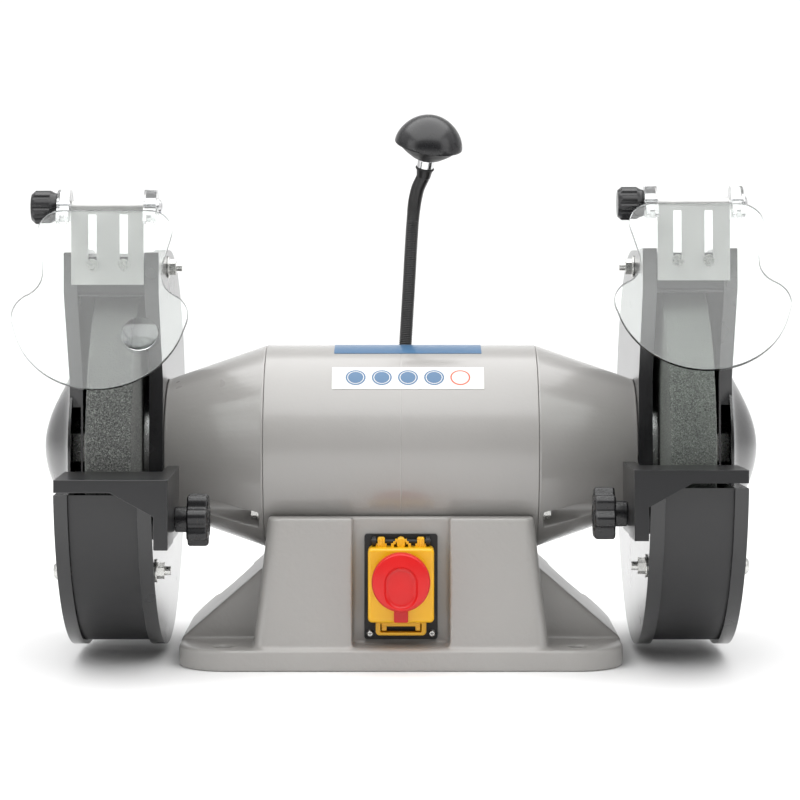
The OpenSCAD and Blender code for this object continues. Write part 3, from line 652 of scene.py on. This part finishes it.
def star_knob(side):
    """A star knob with a dished cap on its face, and the hub and stud behind it."""
    lobes, knob_r, valley, thick = 7, 18.4, 3.4, 14.6
    steps = lobes * 24

    def outline(inset):
        points = []
        for k in range(steps):
            a = 2 * math.pi * k / steps
            r = knob_r - valley * (0.5 - 0.5 * math.cos(lobes * a)) ** 1.5 - inset
            points.append((r * math.cos(a), r * math.sin(a)))
        return points

    head = outline_block(outline, thick, 2.8, 6, 1.2)
    dish = lathe([(0, thick - 0.2), (7.2, thick - 0.2, 0), (7.2, thick + 0.35, 0.3),
                  (5.9, thick + 0.35, 0.3), (5.5, thick - 0.1, 0.2), (0, thick - 0.1)], 64)
    hub = lathe([(0, -8.7), (8.6, -8.7, 0.8), (9, 0.4), (0, 0.4)], 64)
    stud = lathe([(0, -29.2), (4, -29.2, 0.8), (4, -8.5), (0, -8.5)], 32)
    outward = SIDES[side]
    centre = Matrix.Translation((outward * STAR_X, *KNOB_AT))
    place = guard_place(side) @ centre @ turn("Y", -90 * outward)
    make("star_knob_" + side, [(*head, 0), (*dish, 0), (*hub, 0), (*stud, 1)], ["knob", "zinc"],
         "rest_clamp_" + side, "black_plastic", place, ["rest_knob_" + side])


# ---- eye shields ----

def shields():
    for side in SIDES:
        lean = guard_place(side).to_3x3() @ turn("X", -SHIELD_TILT[side]).to_3x3()
        across = lean @ Vector((0, 1, 0))

        def sheet_or_edge(polygon, across=across, flat_enough=0.98):
            return 0 if abs(polygon.normal.dot(across)) > flat_enough else 1

        soften("eye_shield_" + side, ["clear", "clear_edge"], 0.5, 2, pick=sheet_or_edge)
        soften("shield_knuckles_" + side, ["knuckle"], 0.5)
        soften("shield_bracket_" + side, ["sheet"], 0.35)
        soften("shield_knob_" + side, ["knob"], 0.7, 3)
        dress("shield_rod_" + side, "chrome")
    dress("magnifier_lens", "lens")


# ---- switch ----

# Here a piece is drawn in X and Z, with its depth counted forwards; TO_FRONT stands it up.
LID_BACK, LID_FRONT, LID_HALF, LID_LOW, LID_HIGH = 69.7, 87, 23.3, 33.6, 86


def block(size, centre, radius, fillet, depths):
    """A rounded block on the switch, between two depths."""
    back, front = depths
    points, faces = outline_block(rectangle(*size, radius, 4), front - back, fillet, 3, 0.2)
    return [(x + centre[0], y + centre[1], h + back) for x, y, h in points], faces


def lid():
    """The lid's shell with its hinge barrels, stepped top, pull loop and red tongue."""
    wall, corner, edge, edge_steps = 2.0, 3.0, 2.4, 6
    barrel_x = 14
    centre = (LID_LOW + LID_HIGH) / 2
    outline = rectangle(2 * LID_HALF, LID_HIGH - LID_LOW, corner)
    rings = [(outline(wall), LID_FRONT - wall), (outline(wall), LID_BACK), (outline(0.2), LID_BACK),
             (outline(0), LID_BACK + 0.3)]
    for k in range(edge_steps + 1):
        a = math.pi / 2 * k / edge_steps
        rings.append((outline(edge * (1 - math.cos(a))), LID_FRONT - edge + edge * math.sin(a)))
    shell = stack([[(x, y + centre, h) for x, y in ring] for ring, h in rings])
    skins = [shell]
    for x in (-barrel_x, barrel_x):
        skins.append(block((5.2, 9.2), (x, 88), 1.2, 0.8, (72, 78)))
        skins.append(block((7.8, 4.5), (x, 86), 0.6, 0.5, (72.5, 77)))
        skins.append(block((1.4, 7.6), (x, 88.2), 0.4, 0.4, (77, 78.8)))
    for width, top in ((14.2, 88.4), (11, 89.8), (8.4, 91.2)):
        skins.append(block((width, top - 84), (0, (top + 84) / 2), 0.5, 0.5, (72, 78)))
    skins.append(block((6, 8), (0, 88.8), 2.9, 0.8, (71.8, 79)))
    outer, inner = rectangle(36, 11, 3), rectangle(29, 6.2, 0.8)
    loop_z, low, high, lip = 28.6, 70.9, 76.9, 0.8
    rings = [(outer(0.2), low), (outer(0), low + 0.3), (outer(0), high - lip),
             (outer(lip * 0.3), high - lip * 0.3), (outer(lip), high), (inner(-0.3), high),
             (inner(0), high - 0.4), (inner(0), low)]
    skins.append(stack([[(x, y + loop_z, h) for x, y in ring] for ring, h in rings], loop=True))
    skins.append(block((27.6, 3.4), (0, 31.2), 0.8, 0.6, (71, 76.2)))
    skins += [block((3.6, 4.6), (x, loop_z), 0.5, 0.5, (71, 75.6)) for x in (-12, 12)]
    make("lid_shell", skins, ["yellow"], "lid", "yellow_plastic", TO_FRONT, ["switch_lid"], angle=40)
    tongue = block((10, 12.6), (0, 40.2), 1.0, 0.8, (86.6, 88.7))
    make("lid_tongue", [tongue], ["red"], "lid", "red_plastic", TO_FRONT)


def mushroom():
    """The stop mushroom, with a long thumb recess in its face."""
    steps, recess_r, top, bottom, front = 96, 11.2, -0.3, -7.0, 109.6
    stem_r, stem_back, stem_front, stem_below = 6, 74, 94, 10

    def stadium(grow):
        ring = []
        for k in range(steps):
            a = 2 * math.pi * (k + 0.5) / steps
            centre = top if math.sin(a) > 0 else bottom
            ring.append(((recess_r + grow) * math.cos(a), centre + (recess_r + grow) * math.sin(a)))
        return ring

    def circle(r):
        turns = [2 * math.pi * (k + 0.5) / steps for k in range(steps)]
        return [(r * math.cos(a), r * math.sin(a)) for a in turns]

    rings = [(stadium(-3.2), -3.1), (stadium(-1.4), -2.8), (stadium(-0.5), -2.0), (stadium(0), -0.9),
             (stadium(0.5), -0.35), (circle(19.2), -1.15), (circle(20.0), -2.0), (circle(20.4), -3.4),
             (circle(20.5), -6), (circle(20.45), -11), (circle(19.8), -13.6), (circle(17.6), -15.9),
             (circle(14), -16.5), (circle(13), -16.6)]
    head = stack([[(x, y + MUSHROOM_Z, front + h) for x, y in ring] for ring, h in rings])
    profile = [(0, stem_back), (stem_r, stem_back, 0.6), (stem_r, stem_front), (0, stem_front)]
    points, faces = lathe(profile, 48)
    stem = ([(x, y + MUSHROOM_Z - stem_below, z) for x, y, z in points], faces)
    make("stop_mushroom_head", [head, stem], ["red"], "mushroom", "red_plastic", TO_FRONT,
         ["stop_mushroom"], angle=50)


def switch():
    soften("switch_plate", ["matte"], 0.5)
    soften("start_button", ["green"], 0.9, 3)
    soften("stop_button", ["red"], 0.9, 3)
    dress("switch_block", "matte")
    # The steel hinge pin is given black matte plastic, as painted shade between the lid's hinge barrels.
    dress("lid_hinge_pin", "matte")
    lid()
    mushroom()
    # Dark rubber crosses on the two screw heads are painted shade of their cross recesses.
    screw_x, screw_z, arm, arm_w = 22, 23.45, 2.7, 0.55
    recess_shade_crosses = []
    for x in (-screw_x, screw_x):
        for size in ((arm_w, arm), (arm, arm_w)):
            recess_shade_crosses.append(block(size, (x, screw_z), 0.05, 0.05, (69.6, 70.26)))
    make("screw_recess_painted_shade", recess_shade_crosses, ["rubber"], "machine", "zinc_steel", TO_FRONT)


# ---- lamp ----

def spline(points, step):
    """A smooth line through the points, sampled about every step."""
    ends = [2 * points[0] - points[1], *points, 2 * points[-1] - points[-2]]
    line = []
    for a, b, c, d in zip(ends, ends[1:], ends[2:], ends[3:]):
        count = max(2, round((c - b).length / step))
        for k in range(count):
            t = k / count
            line.append(0.5 * (2 * b + (c - a) * t + (2 * a - 5 * b + 4 * c - d) * t ** 2
                               + (3 * b - a - 3 * c + d) * t ** 3))
    return [*line, points[-1].copy()]


def sleeve(name, line, start_length, total, body):
    """One half of the ribbed sleeve, which is split at the joint at its middle."""
    neck_r, thicker, pitch, rib, smooth_end, fade_over = 4.75, 0.3, 1.35, 0.22, 22.0, 12

    def radius(length):
        run = start_length + length
        fade = min(1.0, max(0.0, (total - smooth_end - run) / fade_over))
        return neck_r + (1 - fade) * thicker + rib * fade * math.cos(2 * math.pi * run / pitch)

    obj = make(name, [tube(line, radius)], ["sleeve"], body, "neck_rubber", ride=False, angle=60)
    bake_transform(obj)
    return obj


def lamp():
    """The neck's sleeve in two halves, its socket and the head."""
    in_socket, step, end_gap = Vector((0, 0, 3)), 0.225, 1.0
    line = spline([NECK_BASE - in_socket, NECK_A, NECK_B, NECK_BEND, NECK_END], step)
    lengths = [0.0]
    for a, b in zip(line, line[1:]):
        lengths.append(lengths[-1] + (b - a).length)
    middle = min(range(len(line)), key=lambda i: abs(line[i].z - (NECK_A.z + NECK_B.z) / 2))
    last = max(i for i, p in enumerate(line) if (p - NECK_END).length > end_gap)
    total = lengths[-1]
    lower = sleeve("neck_sleeve_low", line[:middle + 1], 0, total, "machine")
    upper = sleeve("neck_sleeve_high", line[middle:last], lengths[middle], total, "neck_mid")
    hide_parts("neck_middle")
    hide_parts("neck_upper")
    socket = lathe([(0, 196), (11, 196), (11, 217.2, 1.6), (7.4, 219.2, 1.0), (7.0, 221.4, 0.6), (0, 221.4)])
    make("neck_socket", [socket], ["knob"], "machine", "neck_rubber",
         Matrix.Translation((NECK_BASE.x, NECK_BASE.y, 0)), ["lamp_socket"])
    head()


def head():
    """The lamp's domed shade over a smoked cone, on its collar and ball socket."""
    rim_r, rim_h, dome, wall, dome_steps = 25.5, 25.4, 22, 1.5, 28
    outside = [(rim_r * math.sin(a), rim_h + dome * math.cos(a) ** 1.25)
               for a in (math.pi / 2 * k / dome_steps for k in range(dome_steps + 1))]
    inside = [(max(r - wall, 0) * 0.985, h - wall * 0.8) for r, h in reversed(outside)]
    bead = [(rim_r + 0.1, rim_h - 0.5), (rim_r - 0.1, rim_h - 1.1), (rim_r - 0.7, rim_h - 1.3),
            (rim_r - 1.4, rim_h - 1.0)]
    shell = lathe([(*p, 0) for p in outside + bead + inside], 144)
    cone = lathe([(0, 12.9), (6.8, 12.9, 0.5), (11, 14.6, 1), (17.5, 18.9, 2), (23.4, 24.2, 0.6),
                  (22.6, 25, 0.3), (0, 26)], 144)
    collar = lathe([(0, 6.4), (6.2, 6.4, 0.3), (6.2, 12.9, 0.4), (0, 12.9)], 72)
    ring = lathe([(6.0, 5.2, 0.6), (7.0, 5.2, 0.6), (7.0, 6.8, 0.6), (6.0, 6.8, 0.6)], 72, loop=True)
    socket = lathe([(0, -1.6), (5.1, -1.6, 0.6), (5.6, 2, 1), (6.2, 5.4, 0.3), (0, 5.4)], 72)
    make("lamp_shade", [(*shell, 0), (*cone, 1), (*collar, 2), (*ring, 3), (*socket, 4)],
         ["shade", "smoked", "chrome", "rubber", "sleeve"], "lamp", "lamp_black", HEAD_PLACE,
         ["lamp_head"], angle=50)


# ---- stage ----

def area_light(name, place, target, size, power):
    data = bpy.data.lights.new(name, "AREA")
    data.shape = "RECTANGLE"
    data.size, data.size_y = size
    data.energy = power
    obj = bpy.data.objects.new(name, data)
    obj.location = place
    obj.rotation_euler = (Vector(target) - Vector(place)).to_track_quat("-Z", "Y").to_euler()
    bpy.context.scene.collection.objects.link(obj)


def floor():
    """A pale floor that curves up into a backdrop; in metres."""
    look = Look("studio_floor", (0.82, 0.82, 0.82), 0.7)
    look.tint(look.noise(2, 2), 0.99, 1.01)
    mesh = bpy.data.meshes.new("floor")
    reach, behind, curve, height, steps = 20.0, 2.2, 1.0, 4.0, 12
    rows = [(-reach, 0.0), (behind, 0.0)]
    for a in (math.pi / 2 * k / steps for k in range(1, steps + 1)):
        rows.append((behind + curve * math.sin(a), curve * (1 - math.cos(a))))
    rows.append((behind + curve, height))
    points = [(x, y, z) for y, z in rows for x in (-reach, reach)]
    mesh.from_pydata(points, [], [(2 * k, 2 * k + 1, 2 * k + 3, 2 * k + 2) for k in range(len(rows) - 1)])
    smooth(mesh, 40)
    mesh.materials.append(look.material)
    obj = bpy.data.objects.new("floor", mesh)
    bpy.context.scene.collection.objects.link(obj)


def sky():
    """A soft dome of light, bright overhead and behind, dim low in front."""
    world = bpy.data.worlds.new("studio")
    world.use_nodes = True
    nodes, links = world.node_tree.nodes, world.node_tree.links
    uphill = nodes.new("ShaderNodeVectorMath")
    uphill.operation = "DOT_PRODUCT"
    uphill.inputs[1].default_value = (0, 0.6, 1.0)
    spread = nodes.new("ShaderNodeMapRange")
    spread.inputs["From Min"].default_value = -0.35
    spread.inputs["From Max"].default_value = 0.65
    ramp = nodes.new("ShaderNodeValToRGB")
    ramp.color_ramp.elements.new(0.5)
    for element, (where, tone) in zip(ramp.color_ramp.elements, ((0.0, 0.12), (0.35, 0.62), (0.9, 1.0))):
        element.position = where
        element.color = (tone, tone, tone, 1)
    links.new(nodes.new("ShaderNodeTexCoord").outputs["Generated"], uphill.inputs[0])
    links.new(uphill.outputs["Value"], spread.inputs["Value"])
    links.new(spread.outputs["Result"], ramp.inputs["Fac"])
    links.new(ramp.outputs["Color"], nodes["Background"].inputs["Color"])
    bpy.context.scene.world = world


def lights():
    """Soft lights, with places and sizes in metres and power in watts."""
    centre = (0, 0, 0.15)
    area_light("top", (0, -0.35, 1.5), (0, -0.25, 0.15), (2.6, 2.5), 44)
    area_light("left", (-1.5, -0.9, 0.6), centre, (0.9, 1.3), 6)
    area_light("right", (1.5, -0.8, 0.7), centre, (0.9, 1.3), 5)
    area_light("backdrop", (0, 1.0, 1.6), (0, 2.6, 0.6), (3.0, 1.0), 28)


def camera():
    """Level with the eye shields, with the frame shifted down to the foot; in metres."""
    distance, height = 1.916, 0.3136
    data = bpy.data.cameras.new("camera")
    data.sensor_width = 36
    data.lens = 117
    data.shift_x, data.shift_y = -0.00125, -0.21875
    obj = bpy.data.objects.new("camera", data)
    obj.location = (0, -distance, height)
    obj.rotation_euler = (math.pi / 2, 0, 0)
    bpy.context.scene.collection.objects.link(obj)
    bpy.context.scene.camera = obj


base()
motor()
labels()
guards()
shields()
switch()
lamp()
floor()
sky()
lights()
camera()
bpy.context.scene.view_settings.view_transform = "Standard"
